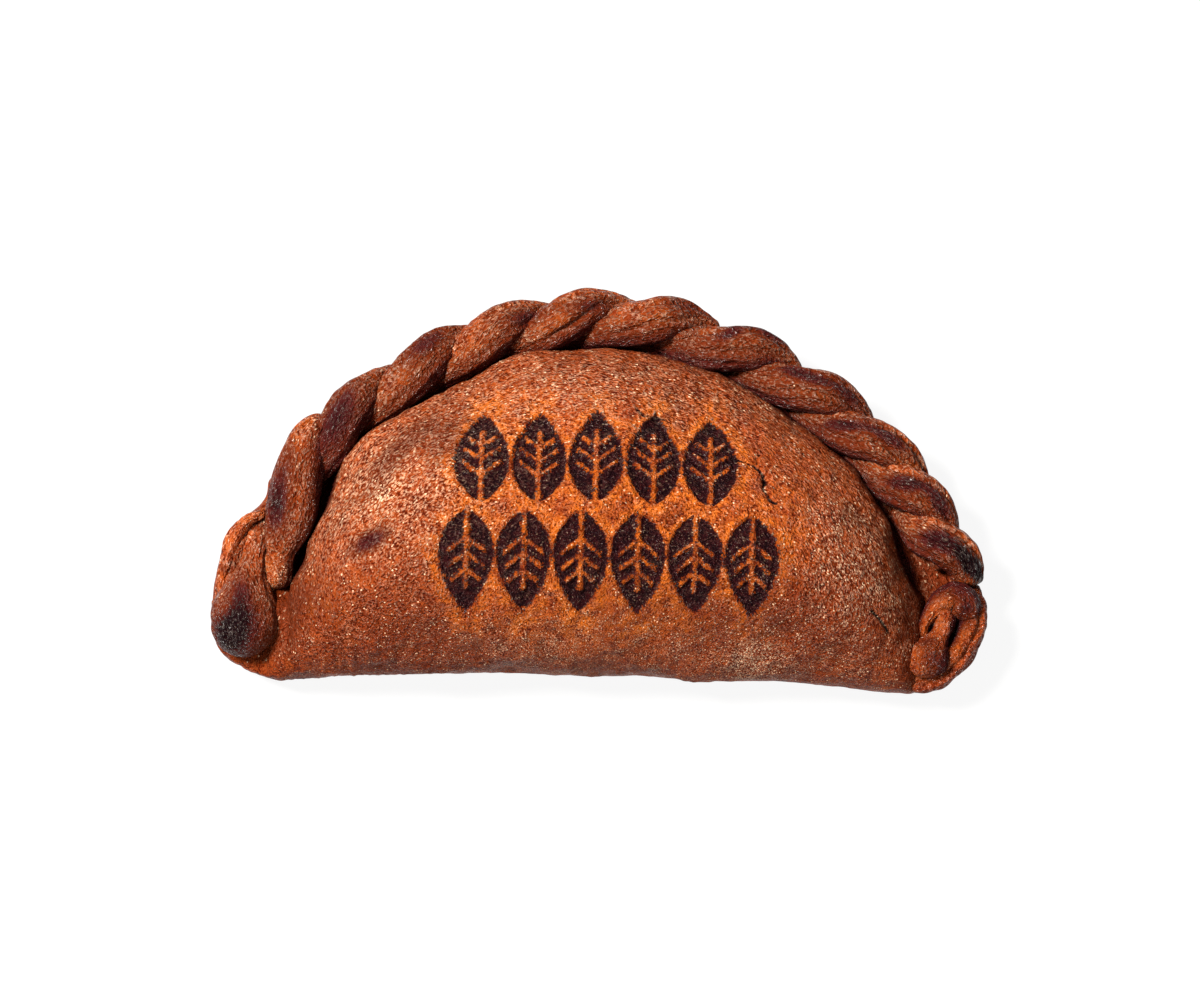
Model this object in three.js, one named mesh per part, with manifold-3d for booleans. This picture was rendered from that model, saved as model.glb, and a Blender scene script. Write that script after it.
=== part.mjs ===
// A half-moon empanada of cocoa dough, lying flat on its base: a domed body with a rope-crimped arc,
// a round knob of dough at one end of the crimp and a folded curl at the other.
// Millimetres. +X runs along the straight fold, +Y from the fold to the crimp, +Z up.
// The origin is under the middle of the whole piece, on the surface it rests on.
import * as THREE from "three";
import { mergeVertices } from "three/addons/utils/BufferGeometryUtils.js";
import Module from "manifold-3d";

const wasm = await Module();
wasm.setup();

// The plan's outlines are superellipses that share one level, the Y of the half-moon's two tips
const tipY = -22.3;
const arcPower = 1.75;
const body = { halfLength: 69.6, backRise: 56.4, frontDrop: 12.3, frontPower: 3.8, cornerDrop: 4.7, cornerX: 57 };
const seam = { left: 62, right: 59.4, rise: 50 };
const dome = { crown: 34, frontShoulder: 27, backShoulder: 40, backPower: 1.5, halfLength: 69, endPower: 2.8 };
const flange = { top: 8.8, rim: 6.4, edgeRound: 6, lift: 4, liftReach: 6, liftPower: 1.5 };
const frontSide = { rim: 10.5, tipRim: 6, tuck: 7 };
const rope = { halfLength: 64.2, rise: 52.8, height: 11 };
const coreSize = { radius: 4.6, endRound: 0.2, start: 0.05, end: 0.95 };

// How far along the rope, from its left end, each lobe of the hand-made crimp has its crest
const crests = [6, 23.4, 38.2, 53.2, 68.4, 81.9, 98.9, 114.6, 130.7, 143.3, 155.1, 166.4];

// A lobe climbs half a turn round the rope's centreline, by degrees from "startAngle" through "sweep"
const lobes = {
  firstRun: 31,
  lastRun: 21,
  radius: 4.6,
  firstSideways: 2.1,
  lastSideways: 3,
  upwards: 2.1,
  startAngle: 215,
  sweep: 250,
  taper: 0.3,
  fullness: 0.62,
  jitter: 0.08,
};

// How finely each surface is faceted; underRound is the share of the underside's steps on each rounded edge
const facets = { columns: 58, dome: 16, flange: 4, under: 10, underRound: 0.4 };
const lobeFacets = { around: 12, along: 12 };
const coreFacets = { around: 8, along: 44 };
const ropeSteps = 80;
const smallestEdge = 0.03;
const mergeDistance = 1e-4;

const clamp = (value, low, high) => Math.min(high, Math.max(low, value));
const mix = (a, b, share) => a + (b - a) * share;
const smooth = (share) => share * share * (3 - 2 * share);
const degrees = (angle) => (angle * Math.PI) / 180;

// A repeatable uneven number from -0.5 to 0.5 for lobe i, a different one for each kind
function uneven(i, kind) {
  const wave = Math.sin(i * 12.9898 + kind * 78.233) * 43758.5453;
  return wave - Math.floor(wave) - 0.5;
}

// Half of a superellipse: how far it rises above its level at x
function superArc(x, halfLength, rise, power) {
  const share = clamp(Math.abs(x) / halfLength, 0, 1);
  return rise * (1 - share ** power) ** (1 / power);
}

// A quarter round: 0 at an edge, 1 from the distance "reach" inwards
function quarterRound(distance, reach) {
  const gap = 1 - clamp(distance / reach, 0, 1);
  return Math.sqrt(1 - gap * gap);
}

// The three lines on the plan: the rim under the crimp, the seam where the dome starts, and the fold
const backEdge = (x) => tipY + superArc(x, body.halfLength, body.backRise, arcPower);
const seamEdge = (x) => tipY + superArc(x, x < 0 ? seam.left : seam.right, seam.rise, arcPower);
function frontEdge(x) {
  const drop = body.frontDrop + body.cornerDrop * clamp(Math.abs(x) / body.cornerX, 0, 1) ** 4;
  return tipY - superArc(x, body.halfLength, drop, body.frontPower);
}

const tipShare = (x) => (Math.abs(x) / body.halfLength) ** 4;
const frontRim = (x) => mix(frontSide.rim, frontSide.tipRim, tipShare(x));
const backRim = (x) => mix(flange.rim, frontSide.tipRim, tipShare(x));

// Height of the upper side: a flat flange with rounded edges, and the dome that rises from the seam
function upperHeight(x, y, rim) {
  const front = y - frontEdge(x);
  const edge = Math.min(front, backEdge(x) - y);
  const low = rim + (flange.top - rim) * quarterRound(edge, flange.edgeRound);
  const fade = Math.sqrt(1 - clamp(Math.abs(x) / dome.halfLength, 0, 1) ** dome.endPower);
  const rise = quarterRound(front, dome.frontShoulder);
  const fall = quarterRound(seamEdge(x) - y, dome.backShoulder) ** dome.backPower;
  return low + (dome.crown - flange.top) * rise * fall * fade;
}

// Height of the underside: flat where it rests, tucked in below both rims and lifted under the crimp
function lowerHeight(x, y) {
  const [front, back] = [frontEdge(x), backEdge(x)];
  const rim = mix(backRim(x), frontRim(x), smooth(clamp((back - y) / (back - front || 1), 0, 1)));
  const tuck = rim * (1 - quarterRound(Math.min(y - front, back - y), frontSide.tuck));
  const liftStart = seamEdge(x) - flange.liftReach;
  const outwards = clamp((y - liftStart) / (back - liftStart), 0, 1);
  return Math.max(tuck, flange.lift * outwards ** flange.liftPower);
}

// Places across the underside, from the rim under the crimp to the fold, closer together on both rounded edges
function underPlace(front, back, share) {
  const reach = Math.min(frontSide.tuck, (back - front) / 2);
  const inwards = (steps) => reach * (1 - Math.cos((Math.PI / 2) * clamp(steps / facets.underRound, 0, 1)));
  const middle = clamp((share - facets.underRound) / (1 - 2 * facets.underRound), 0, 1);
  return mix(back - inwards(share), front + inwards(1 - share), middle);
}

// A closed surface from a sphere's grid: place(turn, row) gives the point for the shares 0 to 1
function closedSurface(around, along, place) {
  const geometry = new THREE.SphereGeometry(1, around, along);
  const { position, uv } = geometry.attributes;
  for (let i = 0; i < position.count; i++) {
    const row = Math.round((1 - uv.getY(i)) * along) / along;
    const turn = row === 0 || row === 1 ? 0 : uv.getX(i) % 1;
    position.setXYZ(i, ...place(turn, row));
  }
  return geometry;
}

// Sections across X, from tip to tip: over the dome, over the flange and back underneath
function bodyGeometry() {
  const around = facets.dome + facets.flange + facets.under;
  return closedSurface(around, facets.columns, (turn, row) => {
    const x = -body.halfLength * Math.cos(Math.PI * row);
    const [front, middle, back] = [frontEdge(x), seamEdge(x), backEdge(x)];
    const step = turn * around;
    if (step < facets.dome) {
      const share = 1 - Math.cos((Math.PI / 2) * (step / facets.dome));
      const y = mix(front, middle, share);
      return [x, y, upperHeight(x, y, mix(frontRim(x), flange.top, smooth(share)))];
    }
    if (step <= facets.dome + facets.flange) {
      const share = Math.sin((Math.PI / 2) * ((step - facets.dome) / facets.flange));
      const y = mix(middle, back, share);
      return [x, y, upperHeight(x, y, backRim(x))];
    }
    const y = underPlace(front, back, (step - facets.dome - facets.flange) / facets.under);
    return [x, y, lowerHeight(x, y)];
  });
}

// The rope's centreline on the plan, from the left tip to the right one, measured along its length
const ropeLine = new THREE.CatmullRomCurve3(
  Array.from({ length: ropeSteps + 1 }, (_, i) => {
    const angle = Math.PI * (1 - i / ropeSteps);
    const spread = 2 / arcPower;
    const x = rope.halfLength * Math.sign(Math.cos(angle)) * Math.abs(Math.cos(angle)) ** spread;
    const y = tipY + rope.rise * Math.sin(angle) ** spread;
    return new THREE.Vector3(x, y, rope.height);
  }),
);
ropeLine.arcLengthDivisions = 10 * ropeSteps;
const ropeLength = ropeLine.getLength();

// The point beside the rope's centreline, "out" away from the dome and "up" above it.
// Past either end the line goes straight on.
function besideRope(distance, out, up) {
  const within = clamp(distance, 0, ropeLength);
  const along = ropeLine.getTangentAt(within / ropeLength);
  const point = ropeLine.getPointAt(within / ropeLength).addScaledVector(along, distance - within);
  return new THREE.Vector3(point.x - along.y * out, point.y + along.x * out, point.z + up);
}

// A rounded finger of dough along a line: line(share) is its middle and radius(row) its half thickness,
// where the rows lie closer together towards both ends
function fingerGeometry({ line, radius, flatness = 1 }, grid = lobeFacets) {
  const small = 0.01;
  return closedSurface(grid.around, grid.along, (turn, row) => {
    const share = (1 - Math.cos(Math.PI * row)) / 2;
    const point = line(share);
    const ahead = line(Math.min(1, share + small)).sub(line(Math.max(0, share - small))).normalize();
    const side = new THREE.Vector3().crossVectors(new THREE.Vector3(0, 0, 1), ahead).normalize();
    const over = new THREE.Vector3().crossVectors(ahead, side);
    const angle = 2 * Math.PI * turn;
    point.addScaledVector(side, radius(row) * Math.cos(angle));
    point.addScaledVector(over, radius(row) * flatness * Math.sin(angle));
    return point.toArray();
  });
}

// A half thickness that is zero at both ends and fuller towards the far one
const dropRadius = (full, fullness, taper) => (row) =>
  full * Math.sin(Math.PI * row) ** fullness * Math.sin((Math.PI / 2) * row) ** taper;

// One lobe of the crimp climbs from beside the dome over the rope and down its outer side
function lobe(crest, i) {
  const share = i / (crests.length - 1);
  const run = mix(lobes.firstRun, lobes.lastRun, share) * (1 + lobes.jitter * uneven(i, 1));
  const sideways = mix(lobes.firstSideways, lobes.lastSideways, share);
  const full = lobes.radius * (1 + lobes.jitter * uneven(i, 2));
  const line = (along) => {
    const angle = degrees(lobes.startAngle - lobes.sweep * along);
    const up = lobes.upwards * Math.sin(angle);
    return besideRope(crest + (along - 0.5) * run, sideways * Math.cos(angle), up);
  };
  return { line, radius: dropRadius(full, lobes.fullness, lobes.taper) };
}

// The dough under the lobes, which shows in the creases
const core = {
  line: (share) => besideRope(ropeLength * mix(coreSize.start, coreSize.end, share), 0, 0),
  radius: dropRadius(coreSize.radius, coreSize.endRound, 0),
};

// A smooth line through a few points
const through = (...points) => {
  const curve = new THREE.CatmullRomCurve3(points.map((point) => new THREE.Vector3(...point)));
  return (share) => curve.getPoint(share);
};

// The round knob at the left end, and the two rolls of the curl at the right end
const knob = {
  line: through([-61.5, -9, 11], [-62, -16, 13], [-62.2, -23, 13], [-62, -33.4, 11.6]),
  radius: dropRadius(9.6, 0.62, 1.9),
  flatness: 0.86,
};
const curlInner = {
  line: through([67.2, -15.5, 10.5], [63.4, -20, 13.4], [60.7, -26, 12.6], [58.8, -34.8, 11]),
  radius: dropRadius(5.2, 0.6, 0.45),
};
const curlOuter = {
  line: through([65, -12.5, 10], [67, -19.3, 11], [66, -26, 10.4], [62, -32.4, 9], [56, -34.6, 7.4]),
  radius: dropRadius(3.3, 0.5, 0.1),
};

function solidFrom(geometry) {
  const bare = geometry.toNonIndexed();
  bare.deleteAttribute("normal");
  bare.deleteAttribute("uv");
  const merged = mergeVertices(bare, mergeDistance);
  const triVerts = new Uint32Array(merged.index.array);
  const vertProperties = merged.attributes.position.array;
  const solid = new wasm.Manifold(new wasm.Mesh({ numProp: 3, vertProperties, triVerts }));
  if (solid.volume() > 0) return solid;
  for (let i = 0; i < triVerts.length; i += 3) {
    [triVerts[i], triVerts[i + 1]] = [triVerts[i + 1], triVerts[i]];
  }
  return new wasm.Manifold(new wasm.Mesh({ numProp: 3, vertProperties, triVerts }));
}

function geometryFrom(solid) {
  const mesh = solid.getMesh();
  const geometry = new THREE.BufferGeometry();
  geometry.setAttribute("position", new THREE.BufferAttribute(mesh.vertProperties, 3));
  geometry.setIndex(new THREE.BufferAttribute(mesh.triVerts, 1));
  geometry.computeVertexNormals();
  return geometry;
}

let dough = solidFrom(bodyGeometry()).add(solidFrom(fingerGeometry(core, coreFacets)));
for (const finger of [...crests.map(lobe), knob, curlInner, curlOuter]) {
  dough = dough.add(solidFrom(fingerGeometry(finger)));
}
// Only the outer skin is kept: where the crimp seals a hollow, it is filled
const larger = (a, b) => (a.volume() > b.volume() ? a : b);
dough = dough.simplify(smallestEdge).decompose().reduce(larger);

const crust = new THREE.Mesh(
  geometryFrom(dough),
  new THREE.MeshStandardMaterial({ color: 0x8a4526, roughness: 0.62, metalness: 0 }),
);
crust.name = "empanada";

const empanada = new THREE.Group();
empanada.add(crust);

export default empanada;
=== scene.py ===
# An empanada of cocoa dough with a rope crimp, lying flat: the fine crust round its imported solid.
# Sizes are in millimetres in the values below, and meshes are made in metres.
import math

import bpy
import numpy as np
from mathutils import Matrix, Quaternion, Vector


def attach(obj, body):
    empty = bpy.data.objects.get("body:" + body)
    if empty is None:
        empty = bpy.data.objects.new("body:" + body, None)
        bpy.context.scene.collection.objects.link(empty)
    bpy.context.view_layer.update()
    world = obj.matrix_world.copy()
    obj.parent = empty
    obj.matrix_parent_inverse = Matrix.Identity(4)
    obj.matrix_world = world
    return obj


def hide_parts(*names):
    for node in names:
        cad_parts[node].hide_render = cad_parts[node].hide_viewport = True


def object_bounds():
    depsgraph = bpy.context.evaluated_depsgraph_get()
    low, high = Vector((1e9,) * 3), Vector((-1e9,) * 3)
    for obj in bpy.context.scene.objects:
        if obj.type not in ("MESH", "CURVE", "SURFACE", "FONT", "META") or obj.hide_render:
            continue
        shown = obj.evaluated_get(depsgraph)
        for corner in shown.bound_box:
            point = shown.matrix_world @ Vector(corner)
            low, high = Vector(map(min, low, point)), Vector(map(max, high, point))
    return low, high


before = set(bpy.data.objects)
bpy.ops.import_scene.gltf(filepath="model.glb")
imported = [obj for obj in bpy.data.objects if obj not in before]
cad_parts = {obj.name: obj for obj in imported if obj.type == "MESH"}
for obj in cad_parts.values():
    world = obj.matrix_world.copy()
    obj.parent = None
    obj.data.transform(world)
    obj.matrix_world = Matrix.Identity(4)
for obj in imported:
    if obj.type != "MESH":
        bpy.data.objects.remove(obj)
cadLow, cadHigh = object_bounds()
millimetre = 0.001
print("frame loaded")


# Numbers and curves that several pieces use

def mix(a, b, share):
    # From a to b by the share
    return a + (b - a) * share


def smooth(value, low, high):
    # 0 below low, 1 above high and 3t^2 - 2t^3 between them
    t = np.clip((value - low) / (high - low), 0, 1)
    return t * t * (3 - 2 * t)


def hill(value, centre, width):
    # exp(-((value - centre) / width)^2)
    return np.exp(-(((value - centre) / width) ** 2))


def eased(row):
    # (1 - cos(pi row)) / 2: from 0 to 1, slowly at both ends
    return (1 - np.cos(np.pi * row)) / 2


def waves(points, seed, length):
    # A repeatable unevenness of about -1 to 1: the sum of sine waves in random directions, each with a
    # length near the one asked for, divided by the square root of half their number
    count = 20
    draw = np.random.default_rng(seed)
    directions = draw.normal(size=(count, points.shape[-1]))
    directions /= np.linalg.norm(directions, axis=1, keepdims=True)
    lengths = length * draw.uniform(0.7, 1.5, count)
    phases = draw.uniform(0, 2 * np.pi, count)
    turns = 2 * np.pi * (points @ (directions / lengths[:, None]).T) + phases
    return np.sin(turns).sum(axis=-1) / math.sqrt(count / 2)


def superArc(x, halfLength, rise, power):
    # Half a superellipse: rise * (1 - |x / halfLength|^power)^(1 / power)
    share = np.clip(np.abs(x) / halfLength, 0, 1)
    return rise * (1 - share ** power) ** (1 / power)


def quarterRound(distance, reach):
    # sqrt(1 - (1 - distance / reach)^2): 0 at an edge, 1 from the distance reach inwards
    gap = 1 - np.clip(distance / reach, 0, 1)
    return np.sqrt(1 - gap * gap)


def spread(count, density):
    # count places from 0 to 1 at equal shares of the density's running sum
    steps = 20000
    fine = (np.arange(steps) + 0.5) / steps
    total = np.cumsum(density(fine))
    shares, ends = np.append(0, total / total[-1]), np.append(0, fine + 0.5 / steps)
    return np.interp(np.linspace(0, 1, count), shares, ends)


def throughPoints(points):
    # A Catmull-Rom curve: from the second to the third of the points a, b, c and d it is half of
    # 2b + (c - a)f + (2a - 5b + 4c - d)f^2 + (3b - a - 3c + d)f^3
    p = np.array(points, float)
    p = np.vstack([2 * p[0] - p[1], p, 2 * p[-1] - p[-2]])

    def place(share):
        t = np.clip(np.asarray(share, float), 0, 1) * (len(points) - 1)
        i = np.minimum(t.astype(int), len(points) - 2)
        f = (t - i)[..., None]
        a, b, c, d = p[i], p[i + 1], p[i + 2], p[i + 3]
        square, cube = 2 * a - 5 * b + 4 * c - d, 3 * b - a - 3 * c + d
        return 0.5 * (2 * b + (c - a) * f + square * f ** 2 + cube * f ** 3)

    return place


def lineGap(x, y, points):
    # The distance on the plan from (x, y) to the nearest straight stretch between the points
    gap = np.full(x.shape, 1e9)
    for (ax, ay), (bx, by) in zip(points[:-1], points[1:]):
        dx, dy = bx - ax, by - ay
        t = np.clip(((x - ax) * dx + (y - ay) * dy) / (dx * dx + dy * dy), 0, 1)
        gap = np.minimum(gap, np.hypot(x - ax - t * dx, y - ay - t * dy))
    return gap


def spotsAt(points, spots, column):
    # The sum over the spots of amount * exp(-r^2), where r is 1 on the spot's ellipse on the plan
    total = np.zeros(points.shape[:-1])
    for px, py, length, width, degrees, *amounts in spots:
        turn = math.radians(degrees)
        dx, dy = points[..., 0] - px, points[..., 1] - py
        u = dx * math.cos(turn) + dy * math.sin(turn)
        v = dy * math.cos(turn) - dx * math.sin(turn)
        total += amounts[column] * hill(np.hypot(u / length, v / width), 0, 1)
    return total


def roundPlace(length, radius, angle):
    # The place (length, radius cos, radius sin), so that a pattern runs along a finger of dough and round it
    return np.stack(np.broadcast_arrays(length, radius * np.cos(angle), radius * np.sin(angle)), axis=-1)


# Meshes from grids

def gridNormals(points):
    # The cross product of the differences along and around a closed grid, made one long
    along = np.gradient(points, axis=0)
    around = np.roll(points, -1, axis=1) - np.roll(points, 1, axis=1)
    normal = np.cross(along, around)
    normal /= np.maximum(np.linalg.norm(normal, axis=2, keepdims=True), 1e-9)
    middle = points[1:-1].mean(axis=1, keepdims=True)
    outwards = ((points[1:-1] - middle) * normal[1:-1]).sum()
    return normal if outwards > 0 else -normal


def onePole(values):
    # The first and last rings of a grid shrink to one value each
    flat = values[1:-1].reshape((-1,) + values.shape[2:])
    return np.concatenate([values[:1, 0], flat, values[-1:, 0]])


def gridFaces(rings, around, start):
    # Quads between neighbouring rings, and a fan of triangles at each pole
    inner = start + 1 + np.arange((rings - 2) * around).reshape(rings - 2, around)
    beside = np.roll(inner, -1, axis=1)
    quads = np.stack([inner[:-1], inner[1:], beside[1:], beside[:-1]], axis=-1).reshape(-1, 4)
    first, last = np.full(around, start), np.full(around, start + 1 + inner.size)
    fans = np.concatenate([
        np.stack([first, inner[0], beside[0]], axis=-1),
        np.stack([last, beside[-1], inner[-1]], axis=-1),
    ])
    return quads, fans


def joinGrids(grids):
    # The points and faces of closed grids, turned so that the sum of a . (b x c) over a grid's triangles,
    # six times its volume, is positive
    places, quads, fans = [], [], []
    start = 0
    for points in grids:
        q, f = gridFaces(points.shape[0], points.shape[1], start)
        flat = onePole(points)
        corners = flat[np.concatenate([q[:, :3], q[:, [0, 2, 3]], f]) - start]
        if (corners[:, 0] * np.cross(corners[:, 1], corners[:, 2])).sum() < 0:
            q, f = q[:, ::-1], f[:, ::-1]
        places.append(flat)
        quads.append(q)
        fans.append(f)
        start += len(flat)
    return map(np.concatenate, (places, quads, fans))


def makePiece(name, grids, attributes, material):
    # One mesh of closed grids; an attribute has an array or a plain number for each grid, and an array of
    # places becomes vectors
    places, quads, fans = joinGrids(grids)
    mesh = bpy.data.meshes.new(name)
    mesh.from_pydata(places * millimetre, [], quads.tolist() + fans.tolist())
    mesh.shade_smooth()
    mesh.validate()
    for key, arrays in attributes.items():
        full = [np.broadcast_to(a, g.shape[:2] + np.shape(a)[2:]) for a, g in zip(arrays, grids)]
        values = np.concatenate([onePole(a) for a in full])
        if values.ndim == 1:
            layer, slot = mesh.attributes.new(key, "FLOAT", "POINT"), "value"
        else:
            layer, slot = mesh.attributes.new(key, "FLOAT_VECTOR", "POINT"), "vector"
            values = (values * millimetre).ravel()
        layer.data.foreach_set(slot, values.astype(np.float32))
    piece = bpy.data.objects.new(name, mesh)
    bpy.context.collection.objects.link(piece)
    mesh.materials.append(material)
    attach(piece, "root")
    print(f"{name}: {len(places)} points, {2 * len(quads) + len(fans)} triangles")
    return piece


# Shader node groups, which put out colours, masks and heights only

def srgb(*screen):
    # The linear colour of a screen colour: s / 12.92 where it is dark, or else ((s + 0.055) / 1.055)^2.4
    shares = [c / 255 for c in screen]
    return (*(s / 12.92 if s <= 0.04045 else ((s + 0.055) / 1.055) ** 2.4 for s in shares), 1)


class Nodes:
    # Short forms for adding nodes to one node tree
    def __init__(self, tree):
        self.tree = tree

    def fill(self, node, values):
        # An output of another node is linked to the input, and a plain value is set on it
        for key, value in values.items():
            if isinstance(value, bpy.types.NodeSocket):
                self.tree.links.new(value, node.inputs[key])
            else:
                node.inputs[key].default_value = value

    def add(self, kind, values=None, **settings):
        node = self.tree.nodes.new(kind)
        for key, value in settings.items():
            setattr(node, key, value)
        self.fill(node, values or {})
        return node

    def math(self, operation, a, b=0.5, c=0.5, clamp=False):
        values = {0: a, 1: b, 2: c}
        return self.add("ShaderNodeMath", values, operation=operation, use_clamp=clamp).outputs[0]

    def ramp(self, value, low, high, fromValue=0.0, toValue=1.0):
        # A smooth step of the value from low to high
        values = {"Value": value, "From Min": low, "From Max": high, "To Min": fromValue, "To Max": toValue}
        return self.add("ShaderNodeMapRange", values, interpolation_type="SMOOTHSTEP").outputs["Result"]

    def blend(self, share, a, b, kind="MIX"):
        # A Mix node's inputs 6 and 7 and its output 2 are the ones for colours
        values = {0: share, 6: a, 7: b}
        return self.add("ShaderNodeMix", values, data_type="RGBA", blend_type=kind).outputs[2]

    def noise(self, vector, size, detail, rough, twist=0.0):
        # The size is in millimetres
        values = {"Vector": vector, "Scale": 1 / (size * millimetre), "Detail": detail, "Roughness": rough}
        return self.add("ShaderNodeTexNoise", {**values, "Distortion": twist}).outputs["Fac"]

    def attribute(self, name, output="Fac"):
        return self.add("ShaderNodeAttribute", attribute_name=name).outputs[output]


def newGroup(name, numbers, outputs):
    # A group's tree, entry and end; it takes a Vector and numbers, and puts out numbers and a Color
    tree = bpy.data.node_groups.new(name, "ShaderNodeTree")
    tree.interface.new_socket(name="Vector", in_out="INPUT", socket_type="NodeSocketVector")
    for label, value in numbers.items():
        socket = tree.interface.new_socket(name=label, in_out="INPUT", socket_type="NodeSocketFloat")
        socket.default_value = value
    for label in outputs:
        kind = "NodeSocketColor" if label == "Color" else "NodeSocketFloat"
        tree.interface.new_socket(name=label, in_out="OUTPUT", socket_type=kind)
    return tree, tree.nodes.new("NodeGroupInput"), tree.nodes.new("NodeGroupOutput")


grain = dict(lump=1.3, ridge=0.36, fibreGlint=0.5, dot=0.42, patch=9.0, mottle=2.2, drift=3.2, scorch=1.3,
             lumpHeight=0.65, ridgeHeight=0.8, fibreHeight=0.08)


def doughGrainGroup():
    # The dough's fine skin: its height in millimetres over lumps, wrinkles and fibres, the wrinkles alone,
    # 0 in their creases, 1 on their tops, where a fibre lies, and where a grain lies with its own number
    outputs = ["Height", "Fine", "Crease", "Top", "Fibre", "Dot", "Choice"]
    tree, entry, end = newGroup("doughGrain", {}, outputs)
    n = Nodes(tree)
    vector = entry.outputs["Vector"]
    lump = n.noise(vector, grain["lump"], 1.0, 0.5)
    ridge = n.noise(vector, grain["ridge"], 1.0, 0.4, 0.6)
    wander = n.noise(vector, grain["fibreGlint"], 1.0, 0.5, 1.0)
    fibreGlint = n.ramp(n.math("ABSOLUTE", n.math("SUBTRACT", wander, 0.5)), 0.09, 0.02)
    fibreGlint = n.math("MULTIPLY", fibreGlint, n.ramp(ridge, 0.42, 0.54))
    dotScale = 1 / (grain["dot"] * millimetre)
    cells = n.add("ShaderNodeTexVoronoi", {"Vector": vector, "Scale": dotScale, "Randomness": 1.0})
    chosen = n.add("ShaderNodeSeparateColor", {0: cells.outputs["Color"]})
    dot = n.ramp(n.math("MULTIPLY_ADD", ridge, -0.5, cells.outputs["Distance"]), 0.13, -0.02)
    height = n.math("MULTIPLY", lump, grain["lumpHeight"])
    height = n.math("MULTIPLY_ADD", ridge, grain["ridgeHeight"], height)
    height = n.math("MULTIPLY_ADD", fibreGlint, grain["fibreHeight"], height)
    n.fill(end, {"Height": height, "Fine": ridge, "Crease": n.ramp(ridge, 0.27, 0.48),
                 "Top": n.ramp(ridge, 0.48, 0.72), "Fibre": fibreGlint, "Dot": dot, "Choice": chosen.outputs[0]})
    return tree


crustTones = dict(
    baked=srgb(126, 47, 17),
    light=srgb(152, 68, 29),
    orange=srgb(184, 90, 20),
    umber=srgb(94, 32, 11),
    roast=srgb(92, 33, 11),
    plum=srgb(64, 20, 18),
    dark=srgb(44, 12, 14),
    char=srgb(22, 7, 10),
    flour=srgb(232, 196, 158),
    # Painted shade darkens the colour in the fine creases, and painted glints brighten it on the fibres
    creaseShade=(0.43, 0.28, 0.22, 1),
    fibreGlint=(1.5, 1.5, 1.4, 1),
    plain=(1, 1, 1, 1),
)
# How much toasting and painted shade starts and completes each darker tone
toastSteps = dict(roast=(0.0, 0.4), plum=(0.4, 0.85), dark=(0.8, 1.3))


def ovenToneGroup():
    # Oven browning: patches of lighter and darker dough with painted shade in its creases and painted glints
    # on its fibres, orange where it glows, roasted, plum and dark in turn with toast and painted shade, and
    # black where it burns
    tree, entry, end = newGroup(
        "ovenTone", dict(Fine=0.5, Crease=1.0, Fibre=0.0, Toast_and_shade=0.0, Glow=0.0, Char=0.0, Grain=1.0),
        ["Color", "Burnt", "Darkened"])
    n = Nodes(tree)
    given = entry.outputs
    patch = n.noise(given["Vector"], grain["patch"], 3.0, 0.6, 0.6)
    mottle = n.noise(given["Vector"], grain["mottle"], 3.0, 0.6, 0.5)
    tone = n.math("ADD", mottle, n.math("MULTIPLY", patch, 1.4))
    tone = n.math("MULTIPLY_ADD", given["Fine"], 0.6, tone)
    colour = n.blend(n.ramp(tone, 1.2, 1.55), crustTones["umber"], crustTones["baked"])
    colour = n.blend(n.ramp(tone, 1.4, 1.85), colour, crustTones["light"])
    glowing = n.ramp(n.math("MULTIPLY_ADD", given["Fine"], 0.5, mottle), 0.5, 1.0)
    colour = n.blend(n.math("MULTIPLY", given["Glow"], glowing), colour, crustTones["orange"])
    toast_and_shade = n.math("MULTIPLY_ADD", patch, 0.5, n.math("MULTIPLY_ADD", given["Fine"], 0.5, -0.5))
    toast_and_shade = n.math("ADD", toast_and_shade, given["Toast_and_shade"])
    for name, (low, high) in toastSteps.items():
        colour = n.blend(n.ramp(toast_and_shade, low, high), colour, crustTones[name])
    burnt = n.math("ADD", given["Char"], n.math("MULTIPLY_ADD", given["Fine"], 0.5, -0.25))
    burnt = n.math("ADD", burnt, n.math("MULTIPLY_ADD", mottle, 0.5, -0.25))
    burnt = n.ramp(burnt, 0.35, 0.8)
    colour = n.blend(burnt, colour, crustTones["char"])
    shade = n.blend(given["Crease"], crustTones["creaseShade"], crustTones["plain"])
    shade = n.blend(given["Fibre"], shade, crustTones["fibreGlint"])
    shade = n.blend(given["Grain"], crustTones["plain"], shade)
    n.fill(end, {"Color": n.blend(1.0, colour, shade, "MULTIPLY"), "Burnt": burnt,
                 "Darkened": n.math("MAXIMUM", burnt, n.ramp(toast_and_shade, 0.1, 0.8))})
    return tree


def flourDustGroup():
    # Flour and sugar left on the dough, and painted sheen: a thin pale painted sheen on its tops and fibres,
    # which also whitens the crumbs, then white fibres and single pale grains, denser where there is more of
    # it
    tree, entry, end = newGroup(
        "flourDust", dict(Amount=0.0, SheenAndCrumbs=0.0, Top=0.0, Fibre=0.0, Dot=0.0, Choice=0.5), ["Mask"])
    n = Nodes(tree)
    given = entry.outputs
    drift = n.noise(given["Vector"], grain["drift"], 3.0, 0.65, 0.8)
    local = n.math("ADD", given["Amount"], n.math("MULTIPLY_ADD", drift, 0.6, -0.3))
    sheenAndCrumbs = n.math("MULTIPLY_ADD", given["Fibre"], 0.16, n.math("MULTIPLY", given["Top"], 0.3))
    sheenAndCrumbs = n.math("MULTIPLY", given["SheenAndCrumbs"], sheenAndCrumbs)
    fibres = n.math("MULTIPLY", given["Fibre"], n.ramp(local, 0.0, 0.6))
    dots = n.ramp(n.math("SUBTRACT", local, given["Choice"]), -0.1, 0.05)
    dots = n.math("MULTIPLY", given["Dot"], dots)
    n.fill(end, {"Mask": n.math("MAXIMUM", sheenAndCrumbs, n.math("MULTIPLY", n.math("MAXIMUM", fibres, dots), 0.8))})
    return tree


doughGrain = doughGrainGroup()
ovenTone = ovenToneGroup()
flourDust = flourDustGroup()


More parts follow.
